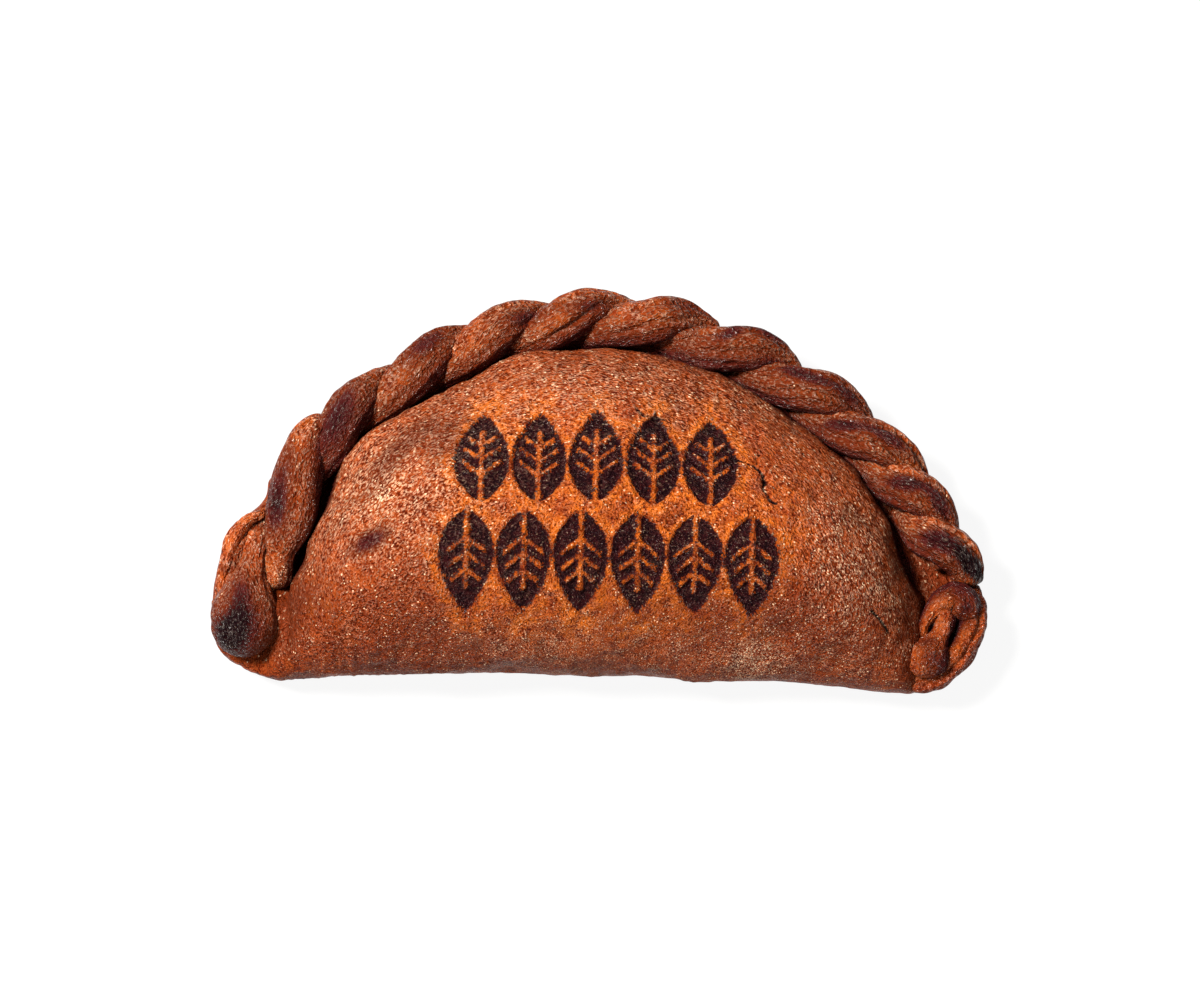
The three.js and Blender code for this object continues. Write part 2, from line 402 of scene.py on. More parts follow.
def burntMark(n, place, fine, colour, burnt, dusted):
    # The leaves on the belly, singed round their edges, dark inside, black in places and with little flour,
    # and the black cracks
    uneven = n.math("ADD", fine, n.noise(place, grain["scorch"], 2.0, 0.6))
    gap = n.math("ADD", n.attribute("markGap"), n.math("MULTIPLY_ADD", uneven, 1.5, -1.5))
    singed = n.math("MULTIPLY", n.ramp(gap, -0.9, 0.1), 0.45)
    stamped = n.ramp(gap, -0.15, 0.15)
    scorch = n.math("MULTIPLY", stamped, n.ramp(uneven, 1.15, 0.85))
    crack = n.ramp(n.math("ADD", n.attribute("crackGap"), n.math("MULTIPLY", fine, 0.3)), 0.52, 0.3)
    for share, name in ((singed, "umber"), (stamped, "dark"), (scorch, "char"), (crack, "char")):
        colour = n.blend(share, colour, crustTones[name])
    bare = n.math("SUBTRACT", 1.0, n.math("MULTIPLY", stamped, 0.8))
    return colour, n.math("MAXIMUM", burnt, scorch), n.math("MULTIPLY", dusted, bare)


# The crust's own shine is faint, and a glaze of fat coats the tops of its wrinkles
crustShine = dict(ior=1.45, own=0.02, glaze=0.58, burntGlaze=0.17, glazeRough=0.25, creaseRough=0.32,
                  topRough=0.2, burntRough=-0.06, flourRough=0.3)


def crustMaterial(name, marked, grainShare):
    # Cocoa dough crust: object coordinates for its patches, attributes for its grain's place and for where it
    # is toasted, painted with shade, burnt, floury, painted with sheen or glazed
    material = bpy.data.materials.new(name)
    material.use_nodes = True
    tree = material.node_tree
    tree.nodes.clear()
    n = Nodes(tree)
    s = crustShine
    place = n.add("ShaderNodeTexCoord").outputs["Object"]
    skinPlace = n.attribute("grainPlace", "Vector")
    skin = n.add("ShaderNodeGroup", {"Vector": skinPlace}, node_tree=doughGrain).outputs
    tones = n.add("ShaderNodeGroup", {"Vector": place, "Grain": grainShare}, node_tree=ovenTone)
    n.fill(tones, {label: skin[label] for label in ("Fine", "Crease", "Fibre")})
    n.fill(tones, {label: n.attribute(label.lower()) for label in ("Toast_and_shade", "Glow", "Char")})
    dust = n.add("ShaderNodeGroup", {"Vector": place, "Amount": n.attribute("flour"),
                                     "SheenAndCrumbs": n.attribute("sheenAndCrumbs")}, node_tree=flourDust)
    n.fill(dust, {label: skin[label] for label in ("Top", "Fibre", "Dot", "Choice")})
    colour, burnt = tones.outputs["Color"], tones.outputs["Burnt"]
    clean = n.math("MULTIPLY_ADD", tones.outputs["Darkened"], -0.85, 1.0)
    dusted = n.math("MULTIPLY", dust.outputs["Mask"], clean)
    if marked:
        colour, burnt, dusted = burntMark(n, place, skin["Fine"], colour, burnt, dusted)
    rough = n.ramp(skin["Fine"], 0.3, 0.7, s["creaseRough"], s["topRough"])
    rough = n.math("MULTIPLY_ADD", burnt, s["burntRough"], rough)
    rough = n.math("MULTIPLY_ADD", dusted, s["flourRough"], rough, clamp=True)
    glaze = n.math("MULTIPLY", skin["Top"], n.math("MULTIPLY_ADD", burnt, s["burntGlaze"], s["glaze"]))
    glaze = n.math("MULTIPLY", glaze, n.attribute("glaze"), clamp=True)
    bump = n.add("ShaderNodeBump", {"Height": skin["Height"], "Strength": 1.0, "Distance": millimetre})
    normal = bump.outputs["Normal"]
    shader = n.add("ShaderNodeBsdfPrincipled", {
        "IOR": s["ior"], "Specular IOR Level": s["own"], "Coat Roughness": s["glazeRough"],
        "Base Color": n.blend(dusted, colour, crustTones["flour"]), "Roughness": rough,
        "Coat Weight": glaze, "Normal": normal, "Coat Normal": normal})
    n.add("ShaderNodeOutputMaterial", {"Surface": shader.outputs[0]})
    return material


bellyCrust = crustMaterial("bellyCrust", marked=True, grainShare=1.0)
foldCrust = crustMaterial("foldCrust", marked=False, grainShare=0.5)
endCrust = crustMaterial("endCrust", marked=False, grainShare=0.75)
print("crust materials made")


# The camera looks down on the shown side, a little from the fold, and is rolled as the photograph is

cameraSetup = dict(elevation=80, roll=1.4, lens=160, sensor=36, spanShare=0.6433, aim=(0.0, -2.75, 12.0),
                   near=0.05, far=20)


def placeCamera():
    # The distance makes the object's length fill its share of the picture's width
    m = cameraSetup
    data = bpy.data.cameras.new("camera")
    data.lens = m["lens"]
    data.sensor_width = m["sensor"]
    data.clip_start, data.clip_end = m["near"], m["far"]
    length = cadHigh[0] - cadLow[0]
    distance = length / m["spanShare"] * m["lens"] / m["sensor"]
    elevation, roll = math.radians(m["elevation"]), math.radians(m["roll"])
    back = np.array([0, -math.cos(elevation), math.sin(elevation)])
    camera = bpy.data.objects.new("camera", data)
    camera.location = np.array(m["aim"]) * millimetre + back * distance
    camera.rotation_mode = "QUATERNION"
    tilt = Quaternion((1, 0, 0), math.pi / 2 - elevation)
    camera.rotation_quaternion = tilt @ Quaternion((0, 0, 1), roll)
    bpy.context.collection.objects.link(camera)
    bpy.context.scene.camera = camera


placeCamera()


# The body: a domed half-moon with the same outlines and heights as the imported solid

halfMoon = dict(tipY=-22.3, arcPower=1.75, halfLength=69.6, backRise=56.4, frontDrop=12.3,
                leftPower=3.8, rightPower=3.0, cornerDrop=4.7, rightDrop=6.2, cornerX=57,
                seamLeft=62, seamRight=59.4, seamRise=50, pinch=0.11, pinchStart=41, pinchEnd=56,
                crown=34, frontShoulder=27, backShoulder=40, backPower=1.5,
                domeLeft=59.5, domeRight=59.4, domePower=5,
                flangeTop=8.8, backRim=6.4, edgeRound=6, lift=4, liftReach=6, liftPower=1.5,
                frontRim=10.5, tipRim=6, tuck=7, underRound=0.4,
                groovePlace=4.3, grooveWidth=0.8, grooveDepth=3.2, grooveEnds=1.3,
                columns=401, domeRows=180, flangeRows=18, underRows=19)


def seamHalfAt(x):
    # The seam's half length, smaller at the left where the rope lies further in
    m = halfMoon
    left = m["seamLeft"] / (1 + m["pinch"] * smooth(-x, m["pinchStart"], m["pinchEnd"]))
    return np.where(x < 0, left, m["seamRight"])


def bodyOutlines(x):
    # The fold in front, the seam at the dome's foot and the rim behind, each as Y over X
    m = halfMoon
    corner = np.clip(np.abs(x) / m["cornerX"], 0, 1) ** 4
    leftFront = superArc(x, m["halfLength"], m["frontDrop"] + m["cornerDrop"] * corner, m["leftPower"])
    rightFront = superArc(x, m["halfLength"], m["frontDrop"] + m["rightDrop"] * corner, m["rightPower"])
    front = m["tipY"] - mix(leftFront, rightFront, smooth(x, -20, 40))
    seam = m["tipY"] + superArc(x, seamHalfAt(x), m["seamRise"], m["arcPower"])
    back = m["tipY"] + superArc(x, m["halfLength"], m["backRise"], m["arcPower"])
    return front, seam, back


def bodyRims(x):
    # The heights of the front and back rims, which go over to the tips' height by |x / half length|^4
    m = halfMoon
    tipShare = (np.abs(x) / m["halfLength"]) ** 4
    return mix(m["frontRim"], m["tipRim"], tipShare), mix(m["backRim"], m["tipRim"], tipShare)


def upperHeight(x, y, rim):
    # A flange with rounded edges, and a dome of two quarter rounds that fades towards the tips
    m = halfMoon
    front, seam, back = bodyOutlines(x)
    low = rim + (m["flangeTop"] - rim) * quarterRound(np.minimum(y - front, back - y), m["edgeRound"])
    half = np.where(x < 0, m["domeLeft"], m["domeRight"])
    fade = np.sqrt(1 - np.clip(np.abs(x) / half, 0, 1) ** m["domePower"])
    dome = quarterRound(y - front, m["frontShoulder"])
    dome = dome * quarterRound(seam - y, m["backShoulder"]) ** m["backPower"]
    return low + (m["crown"] - m["flangeTop"]) * dome * fade


def lowerHeight(x, y):
    # Flat where it rests, tucked in by quarter rounds below both rims and lifted under the crimp
    m = halfMoon
    front, seam, back = bodyOutlines(x)
    frontRim, backRim = bodyRims(x)
    rim = mix(backRim, frontRim, smooth((back - y) / np.maximum(back - front, 1e-6), 0, 1))
    tuck = rim * (1 - quarterRound(np.minimum(y - front, back - y), m["tuck"]))
    liftStart = seam - m["liftReach"]
    outwards = np.clip((y - liftStart) / (back - liftStart), 0, 1)
    return np.maximum(tuck, m["lift"] * outwards ** m["liftPower"])


def bodyGrid():
    # Sections across X, each going over the dome, over the flange and back underneath; the columns are
    # closer together at the tips and the leaves, the rows at the front edge and the leaves
    m = halfMoon
    columns = spread(m["columns"], lambda t: 1 + 0.5 * hill(t, 0.52, 0.25) + 0.25 / np.sqrt(t * (1 - t)))
    x = (m["halfLength"] * (2 * columns - 1))[:, None]
    front, seam, back = bodyOutlines(x)
    frontRim, backRim = bodyRims(x)
    rows = spread(m["domeRows"] + 1, lambda t: 1 + 0.5 * hill(t, 0.42, 0.3) + 0.35 / np.sqrt(t))[None, :-1]
    y = mix(front, seam, rows)
    parts = [(y, upperHeight(x, y, mix(frontRim, m["flangeTop"], smooth(rows, 0, 1))))]
    y = mix(seam, back, np.sin(np.pi / 2 * np.linspace(0, 1, m["flangeRows"]))[None])
    parts.append((y, upperHeight(x, y, backRim)))
    share = np.linspace(0, 1, m["underRows"] + 2)[None, 1:-1]
    edge = m["underRound"]
    reach = np.minimum(m["tuck"], (back - front) / 2)
    fromBack = back - reach * (1 - np.cos(np.pi / 2 * np.clip(share / edge, 0, 1)))
    fromFront = front + reach * (1 - np.cos(np.pi / 2 * np.clip((1 - share) / edge, 0, 1)))
    y = mix(fromBack, fromFront, np.clip((share - edge) / (1 - 2 * edge), 0, 1))
    parts.append((y, lowerHeight(x, y)))
    y, z = (np.concatenate(arrays, axis=1) for arrays in zip(*parts))
    return np.stack([np.broadcast_to(x, y.shape), y, z], axis=-1)


# The crimp: lobes that climb over the rope's centreline one after another, and a core of dough under them

crimp = dict(halfLength=64.2, rise=52.8, height=11,
             crests=(37, 53.4, 67.7, 82.2, 96.6, 112.8, 128.6, 142.6, 154.6, 165.4),
             runs=(29.5, 28.5, 28, 27, 27, 27, 27, 28, 25, 17),
             radii=(4.1, 4.15, 4.15, 4.1, 4.25, 4.25, 4.15, 4.15, 4.0, 4.0),
             browned=(0.2, 0.15, 0.1, 0.1, 0.1, 0.2, 0.15, 0.05, 0.05, 0),
             firstSideways=2.65, lastSideways=3.5, inwards=2.2, lastInwards=2.8, innerLift=-1.6, upwards=2.7,
             startAngle=215, sweep=250, tail=0.55, tip=0.4, lastTip=0.75, endRound=0.06,
             twoGroovesFrom=3, threeGroovesFrom=5, webStart=0.42, webEnd=0.2,
             coreRadius=3.1, coreStart=0.1, coreEnd=0.95, coreRound=0.2, coreToast=0.3,
             along=110, around=64, coreAlong=400, coreAround=28)


def ropeTable():
    # The rope's centreline as a superellipse, with the length run at each of its points
    angle = np.pi * (1 - np.linspace(0, 1, 4001))
    power = 2 / halfMoon["arcPower"]
    x = crimp["halfLength"] * np.sign(np.cos(angle)) * np.abs(np.cos(angle)) ** power
    y = halfMoon["tipY"] + crimp["rise"] * np.sin(angle) ** power
    run = np.append(0, np.cumsum(np.hypot(np.diff(x), np.diff(y))))
    return x, y, run


ropeX, ropeY, ropeRun = ropeTable()


# Two rows of leaves are burnt into the crown, the upper ones pointing up and the lower ones down

leaves = dict(upperX=(-21.2, 19.6), upperY=1.6, upperCount=5,
              lowerX=(-23.4, 27.2), lowerY=-17.2, lowerCount=6,
              halfWidth=4.85, halfHeight=8.6, lean=0.85, fullness=0.8, tipSlope=0.7,
              midrib=0.46, midribShare=0.55, vein=0.32, veinPlaces=(-3.6, -0.9, 1.8),
              veinSlope=0.75, veinShare=0.72, depth=0.7, glowReach=4.2, away=-30)


def leafGap(x, y, centreX, centreY, up):
    # Inside a leaf this is the distance in from its outline, halfWidth * sin(pi t^lean)^fullness, or from
    # its veins, and outside it is negative
    m = leaves
    u, v = np.abs(x - centreX), (y - centreY) * up
    t = np.clip((v + m["halfHeight"]) / (2 * m["halfHeight"]), 0, 1)
    width = m["halfWidth"] * np.sin(np.pi * t ** m["lean"]) ** m["fullness"]
    gap = np.minimum(width - u, (m["halfHeight"] - np.abs(v)) * m["tipSlope"])
    midribTop = m["halfHeight"] * m["midribShare"]
    gap = np.minimum(gap, np.where(v < midribTop, u, np.hypot(u, v - midribTop)) - m["midrib"])
    for place in m["veinPlaces"]:
        off = np.abs(v - place - u * m["veinSlope"]) / math.hypot(1, m["veinSlope"])
        gap = np.minimum(gap, np.maximum(off - m["vein"], u - m["veinShare"] * width))
    return gap


def motifGap(x, y):
    # The largest leafGap over both rows
    gap = np.full(x.shape, leaves["away"])
    for row, up in (("upper", 1), ("lower", -1)):
        for centreX in np.linspace(*leaves[row + "X"], leaves[row + "Count"]):
            gap = np.maximum(gap, leafGap(x, y, centreX, leaves[row + "Y"], up))
    return gap


# Cracks on the belly by their (X, Y) places, pits with a radius and a depth and crumbs with a radius;
# toast and painted shade, glow, flour and painted sheen as (X, Y, half length, half width, turn in degrees,
# amount)

bellyMarks = dict(
    cracks=[[(22.7, 3.3), (25.1, 1.9), (26.9, 1.6), (28.3, 3.4)],
            [(26.9, 1.6), (28.8, -0.2), (29.3, -1.2), (29.4, -3.2), (29.8, -5.1), (31.6, -5.9)],
            [(6.1, 11.2), (6.7, 10.4), (8.6, 9.9), (11.3, 9.6)],
            [(49.4, -24), (50.6, -24.9), (51.4, -25.9), (52.4, -26.5)]],
    crackWidth=0.36, crackDepth=0.7, crackWander=0.25, away=9,
    pits=[(29.3, -1.4, 0.8, 0.9), (-18, 11.5, 0.5, 0.3), (-31, 5, 0.6, 0.3), (47, -8, 0.5, 0.3)],
    # The wide toast spots low on the front and at the right are painted shade where the belly turns from the
    # light
    toast_and_shade=[(-40.9, -14, 3.2, 1.7, 30, 0.9), (-27.5, 5.5, 7, 3.5, 67, 0.3), (42, -22, 16, 10, 0, 0.12),
           (-33, 7, 6, 2.4, 55, 0.27), (-39, 0.5, 6, 2.6, 60, 0.33), (-46, -9, 6, 3, 60, 0.15),
           (-31, -18, 12, 6, 0, 0.1), (22, -26, 24, 7, 0, 0.15), (0, 20, 26, 5, 0, 0.1),
           (-34, -30, 14, 8, 0, 0.22), (50, -32, 12, 6, 0, 0.1), (0, -34.5, 60, 3, 0, 0.05),
           (-53, -24, 7, 7, 0, 0.2)],
    glow=[(-50, -24.5, 4, 3, 0, 0.4), (34, -8, 4, 8, 0, 0.5), (-19, 11, 6, 3, 40, 0.6),
          (-34.5, 6, 1.6, 1.6, 0, 0.9), (2, -27, 20, 2.5, 0, 0.4)],
    flour=[(-9.5, -31.3, 12, 4, 0, 0.1), (27.8, -32.6, 5, 2.5, 0, 0.3), (20, -33, 26, 4, 0, 0.06),
           (45, -12, 13, 7.5, 105, 0.18), (44, -22, 13, 9, 0, 0.06), (30.2, 15, 8, 4, -40, 0.1),
           (50.6, 2.8, 8, 4, -55, 0.08), (-38.5, -5, 3.5, 1.5, 45, 0.3), (0, 16, 22, 6, 0, 0.08)],
    # The sheen spots are painted sheen, at the upper left and along the crown
    sheenAndCrumbs=[(-38, -4, 19, 14, 0, 1.15), (-6, 15, 32, 8, 0, 0.6)],
    lobeGroove=[(-45.7, 8.6), (-48.6, 1.6), (-50.6, -5.8), (-53.7, -12.4), (-55, -17.5)], lobeGrooveWidth=1.2,
    crumbs=[(-39.6, -5.7, 0.8), (-37.4, -4.4, 0.9), (-41.5, -7.7, 0.55), (-38.3, -5.4, 0.6),
            (-36.2, -3.4, 0.5), (-40.6, -6.6, 0.5), (20.4, 14.6, 0.6), (24, 12.8, 0.5),
            (39.5, -13.5, 0.7), (43.2, -16.4, 0.6), (-7.7, -30.5, 0.7), (-12.8, -29.6, 0.6),
            (27, -31.5, 0.8), (30.5, -31, 0.6), (-2, -25.5, 0.5), (9.4, -28, 0.5)],
    crumbHeight=0.35, crumbPale=2.2,
    leftTuck=(-63.5, -3, 4, 2.4), ballRise=(-57.3, -23.5, 5, 3.5),
    grainPoleY=-50, grainRadius=55, grainStretch=1.6, streakWidth=1.3, streakLength=9,
)


def fromMiddle(x, y):
    # How far out a place is, (|x / a|^p + (y / b)^p)^(1 / p), from 0 at the half-moon's middle to 1 at the
    # seam, and its turn round the middle
    m = halfMoon
    half = seamHalfAt(x)
    outX, outY = np.abs(x) / half, np.clip(y - m["tipY"], 0, None) / m["seamRise"]
    outwards = (outX ** m["arcPower"] + outY ** m["arcPower"]) ** (1 / m["arcPower"])
    return outwards, np.arctan2(outY, x / half)


def grooveAt(x, y):
    # 1 in the narrow deep groove beside the crimp, further from the rope's centreline at both ends, and in
    # the one beside the first lobe
    m, marks = halfMoon, bellyMarks
    gap = lineGap(x, y, list(zip(ropeX[::25], ropeY[::25])))
    wide = m["grooveEnds"] * (smooth(x, 36, 56) + smooth(-x, 46, 58))
    groove = hill(gap, m["groovePlace"] + wide, m["grooveWidth"]) * smooth(m["halfLength"] - np.abs(x), 6, 12)
    groove *= smooth(y, m["tipY"] + 2, m["tipY"] + 8)
    return np.maximum(groove, hill(lineGap(x, y, marks["lobeGroove"]), 0, marks["lobeGrooveWidth"]))


def bellyRelief(points, top, mark, crack, outwards, turn):
    # Swells and wrinkles of four lengths and streaks that run round the half-moon, less the burnt leaves,
    # the cracks and the pits; the base stays flat where it rests
    m, marks = halfMoon, bellyMarks
    x, y, z = np.moveaxis(points, -1, 0)
    reach = m["seamRise"]
    across, along = outwards * reach / marks["streakWidth"], turn * reach / marks["streakLength"]
    streaks = waves(np.stack([across, along], axis=-1), 5, 1.0)
    atTip = smooth(m["halfLength"] - np.abs(x), 0.0, 3.0)
    relief = 0.38 * waves(points, 1, 27) + 0.17 * waves(points, 2, 11)
    relief += 0.07 * waves(points, 3, 4.2) + 0.045 * waves(points, 4, 1.9)
    relief += 0.09 * streaks * smooth(outwards, 0.45, 0.8) * smooth(-x, 0, 30)
    relief *= np.where(z < 1.0, 0.0, 1.0) * mix(0.25, 1, atTip) * np.where(top > 0, 1.0, 0.5)
    relief -= leaves["depth"] * smooth(mark, -0.25, 0.45)
    relief -= marks["crackDepth"] * hill(crack, 0, marks["crackWidth"])
    for px, py, radius, depth in marks["pits"]:
        relief -= depth * top * hill(np.hypot(x - px, y - py), 0, radius)
    return relief


def contourPlace(points):
    # Grain coordinates that are stretched along arcs round a point in front of the fold: the distance from
    # it, the arc's length divided by the stretch, and the height
    marks = bellyMarks
    x, y, z = np.moveaxis(points, -1, 0)
    ahead = y - marks["grainPoleY"]
    arc = np.arctan2(x, ahead) * marks["grainRadius"] / marks["grainStretch"]
    return np.stack([np.hypot(x, ahead), arc, z], axis=-1)


def bodyPiece():
    m, marks = halfMoon, bellyMarks
    points = bodyGrid()
    x, y, z = np.moveaxis(points, -1, 0)
    top = np.zeros(x.shape)
    top[:, : m["domeRows"] + m["flangeRows"]] = 1
    outwards, turn = fromMiddle(x, y)
    mark = np.where(top > 0, motifGap(x, y), leaves["away"])
    wander = marks["crackWander"] * waves(points, 6, 2.0)
    crack = np.min([lineGap(x + wander, y - wander, line) for line in marks["cracks"]], axis=0)
    crack = np.where(top > 0, np.minimum(crack, marks["away"]), marks["away"])
    crumbs = top * sum(hill(np.hypot(x - px, y - py), 0, radius) for px, py, radius in marks["crumbs"])
    groove = top * grooveAt(x, y)
    # Darker towards the base, toasted spots, and painted shade in the groove beside the crimp, along the seam
    # at the right and on the steep left flank beside the first lobe
    toast_and_shade = 0.05 + 0.2 * smooth(z, 7, 1) + top * spotsAt(points, marks["toast_and_shade"], 0) + 0.7 * groove
    toast_and_shade += top * (0.25 * smooth(outwards, 0.88, 1.0) * smooth(x, 0, 30) + 0.15 * smooth(-x, 49, 56))
    flour = 0.11 - 0.04 * smooth(-x, 32, 50) + spotsAt(points, marks["flour"], 0)
    # Painted sheen on the tops of the wrinkles, fading towards the base, and the pale colour of the crumbs
    sheenAndCrumbs = (0.1 + top * spotsAt(points, marks["sheenAndCrumbs"], 0)) * smooth(z, 5, 14) + marks["crumbPale"] * crumbs
    glow = smooth(mark, -leaves["glowReach"], -0.5) + 0.2 + top * spotsAt(points, marks["glow"], 0)
    attributes = dict(markGap=[mark], crackGap=[crack], toast_and_shade=[toast_and_shade], flour=[top * flour * smooth(z, 2, 9)],
                      sheenAndCrumbs=[sheenAndCrumbs], glow=[glow], char=[0.0], glaze=[smooth(z, 9, 24)],
                      grainPlace=[contourPlace(points)])
    relief = bellyRelief(points, top, mark, crack, outwards, turn) + marks["crumbHeight"] * crumbs
    points = points + gridNormals(points) * relief[..., None]
    # The edge is drawn in behind the first lobe, and the dough rises beside the ball
    px, py, reach, amount = marks["leftTuck"]
    points[..., 0] += amount * hill(np.hypot(x - px, y - py), 0, reach)
    px, py, reach, amount = marks["ballRise"]
    points[..., 2] += amount * top * hill(np.hypot(x - px, y - py), 0, reach) - m["grooveDepth"] * groove
    points[..., 2] = np.maximum(points[..., 2], 0)
    piece = makePiece("bellyCrust", [points], attributes, bellyCrust)
    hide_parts("empanada")


bodyPiece()


# Fingers of dough, which make the crimp and both ends

def ropePlace(distance):
    # The centreline's place on the plan at a length run
    return np.interp(distance, ropeRun, ropeX), np.interp(distance, ropeRun, ropeY)


def besideRope(distance, out, up):
    # A point of the centreline moved out along its normal and up; past either end the line goes straight on
    step = 0.3
    within = np.clip(distance, step, ropeRun[-1] - step)
    past = distance - within
    (x, y), (aheadX, aheadY), (behindX, behindY) = (ropePlace(within + s) for s in (0, step, -step))
    size = np.hypot(aheadX - behindX, aheadY - behindY)
    tx, ty = (aheadX - behindX) / size, (aheadY - behindY) / size
    x, y = x + tx * past - ty * out, y + ty * past + tx * out
    return np.stack([x, y, crimp["height"] + up + 0 * x], axis=-1)


def fingerFrame(line, share):
    # The middle of a finger of dough at the shares of its line, with the directions beside and over it
    middle = line(share)
    step = 0.01
    ahead = line(np.minimum(1, share + step)) - line(np.maximum(0, share - step))
    ahead /= np.linalg.norm(ahead, axis=1, keepdims=True)
    side = np.cross([0, 0, 1], ahead)
    side /= np.linalg.norm(side, axis=1, keepdims=True)
    return middle, side, np.cross(ahead, side)


def fingerGrid(line, radius, along, around, flatness, relief, length, seed):
    # middle + (side cos + over flatness sin) * (radius + relief), for a turn from 0 outwards to 90 degrees
    # up, in rows that lie closer together towards both ends, with the share along, the turn and grain
    # coordinates that are stretched along the finger and set apart from those of its neighbours
    row = np.linspace(0, 1, along)
    middle, side, over = fingerFrame(line, eased(row))
    share = eased(row)[:, None]
    angle = 2 * np.pi * np.arange(around)[None] / around
    base = radius(row)[:, None]
    half = base + relief(share, angle) * np.minimum(1, base / 2)
    points = middle[:, None] + side[:, None] * (half * np.cos(angle))[..., None]
    points = points + over[:, None] * (half * flatness * np.sin(angle))[..., None]
    place = roundPlace(share * length / 1.5 + 100 * seed, base, angle)
    share, angle = np.broadcast_arrays(share, angle)
    return points, share, angle, place


def dropRadius(full, fullness, taper):
    # full * sin(pi row)^fullness * sin(pi row / 2)^taper
    return lambda row: full * np.sin(np.pi * row) ** fullness * np.sin(np.pi / 2 * row) ** taper


def lobeRadius(full, tip):
    # A broad tail that swells to the full radius and narrows to a share of it, with both ends round
    def radius(row):
        share = eased(row)
        swell = mix(crimp["tail"], 1, smooth(share, 0.08, 0.45)) * mix(1, tip, smooth(share, 0.6, 1.0))
        return full * swell * quarterRound(np.minimum(share, 1 - share), crimp["endRound"])
    return radius


def longLobeRadius(tail, full):
    # A round tail of even width that swells to its full width, then narrows to the end under the next lobe
    def radius(row):
        share = eased(row)
        swell = mix(tail, full, smooth(share, 0.22, 0.5)) * quarterRound(share, 0.08)
        return swell * np.sqrt(1 - np.clip((share - 0.55) / 0.45, 0, 1) ** 2.4)
    return radius


def pearRadius(neck, ball, neckEnd, ballPlace):
    # A neck that swells into a ball, with a round end
    def radius(row):
        share = eased(row)
        swell = mix(neck, ball, smooth(share, neckEnd, ballPlace)) * quarterRound(share, 0.06)
        return swell * np.sqrt(1 - np.clip((share - ballPlace) / (1 - ballPlace), 0, 1) ** 2)
    return radius


def foldRelief(seed, grooves, wrinkle):
    # Lengthwise grooves in a finger, as (turn at the start, turn at the end, depth, width, from, to) with
    # the last two as shares of its length, and fine wrinkles
    def relief(share, angle):
        total = 0 * share * angle
        wander = 5 * np.sin(9 * share + seed) + 3 * np.sin(23 * share + 2 * seed)
        for start, end, depth, width, low, high in grooves:
            away = np.angle(np.exp(1j * (angle - np.radians(mix(start, end, share) + wander))))
            fade = smooth(share, low, low + 0.15) * smooth(share, high, high - 0.15)
            total = total - depth * hill(away, 0, math.radians(width)) * fade
        stretched, lumps = roundPlace(share * 3.2, 4.2, angle), roundPlace(share * 22, 4.5, angle)
        total = total + wrinkle * waves(stretched, seed, 1.7)
        return total + 0.14 * waves(lumps, seed + 1, 6) + 0.05 * waves(lumps, seed + 2, 1.6)
    return relief


def upFacing(angle):
    # 1 where a finger faces up or sideways
    return smooth(np.sin(angle), -0.6, 0.1)


def shadedUnderSide(angle):
    # 1 where a finger faces down, where painted shade darkens it
    return smooth(np.sin(angle), 0.3, -0.2)


# Browned and burnt places on the folds, and two black spots of painted shade in the curl's pit and gap:
# (X, Y, half length, half width, turn in degrees, toast, char)

browning = [
    (-58.1, -6.5, 4.6, 2.2, 100, 0.6, 0.55), (-57.9, -3.2, 8.6, 2.1, 80, 0.75, 0),
    (-48.1, 10.3, 5.8, 2.2, 64, 0.95, 0.35), (-32.6, 24.5, 5, 2, 40, 0.65, 0),
    (-14.6, 30.1, 4.5, 1.6, 20, 0.5, 0), (-2.9, 32.5, 4, 1.4, 10, 0.45, 0), (15.3, 33.1, 5, 1.6, -8, 0.5, 0),
    (23, 28, 3, 1.3, 30, 0.7, 0.2), (30.5, 28.2, 4.5, 1.3, -25, 0.6, 0.05),
    (36.5, 20.4, 5.4, 1.3, -20, 0.95, 0.3), (44.7, 17.2, 4.2, 1.6, -40, 0.5, 0),
    (43.6, 11.5, 3.6, 1.3, -5, 0.95, 0.4), (51.6, 9.4, 4.6, 1.3, -30, 0.9, 0.3),
    (55.6, 0.9, 3.6, 1.4, -10, 1, 0.45), (61.3, -2.4, 3.8, 1.5, -52, 0.9, 0.4),
    (60.6, -9.3, 3.2, 1.6, -15, 0.8, 0.3), (67, -13.2, 4.4, 1.9, -45, 0.7, 1.2),
    (62.4, -9.4, 3.4, 1.8, -35, 0.5, 0.1), (64.7, -18.4, 2, 1.1, 0, 0.5, 0.1),
    # (60.1, -24.8) is black painted shade in the curl's pit
    (66.3, -21.2, 2.6, 2, 80, 0.6, 0.5), (60.1, -24.8, 1, 0.4, 65, 0.3, 1.4),
    (59.4, -27.6, 2.2, 0.9, 0, 0.4, 0.1), (60.6, -30.8, 2.4, 1.8, 0, 0.5, 0.2),
    # (64.6, -25.4) is black painted shade in the gap between the curl's finger and band
    (64.6, -25.4, 2.4, 0.5, 75, 0.5, 1), (-65.4, -29, 4.6, 4.2, 80, 0.8, 1),
    (-63.8, -22.6, 3.6, 1.9, 90, 0.7, 0.35), (-61.4, -26.5, 4, 2.4, 90, 0.2, 0.1),
]


def bakedFinger(points, place, up=0, browned=1, toast_and_shade=0, flour=0, sheenAndCrumbs=0.5, glow=0):
    # A finger's grid and its attributes, with the browned and burnt places where it faces up
    return dict(points=points, grainPlace=place, toast_and_shade=toast_and_shade + browned * up * spotsAt(points, browning, 0),
                char=up * spotsAt(points, browning, 1), flour=flour, sheenAndCrumbs=sheenAndCrumbs, glow=glow, glaze=1.7)


def makeFolds(name, fingers, material):
    # One piece of several baked fingers
    attributes = {key: [finger[key] for finger in fingers] for key in fingers[0]}
    makePiece(name, attributes.pop("points"), attributes, material)


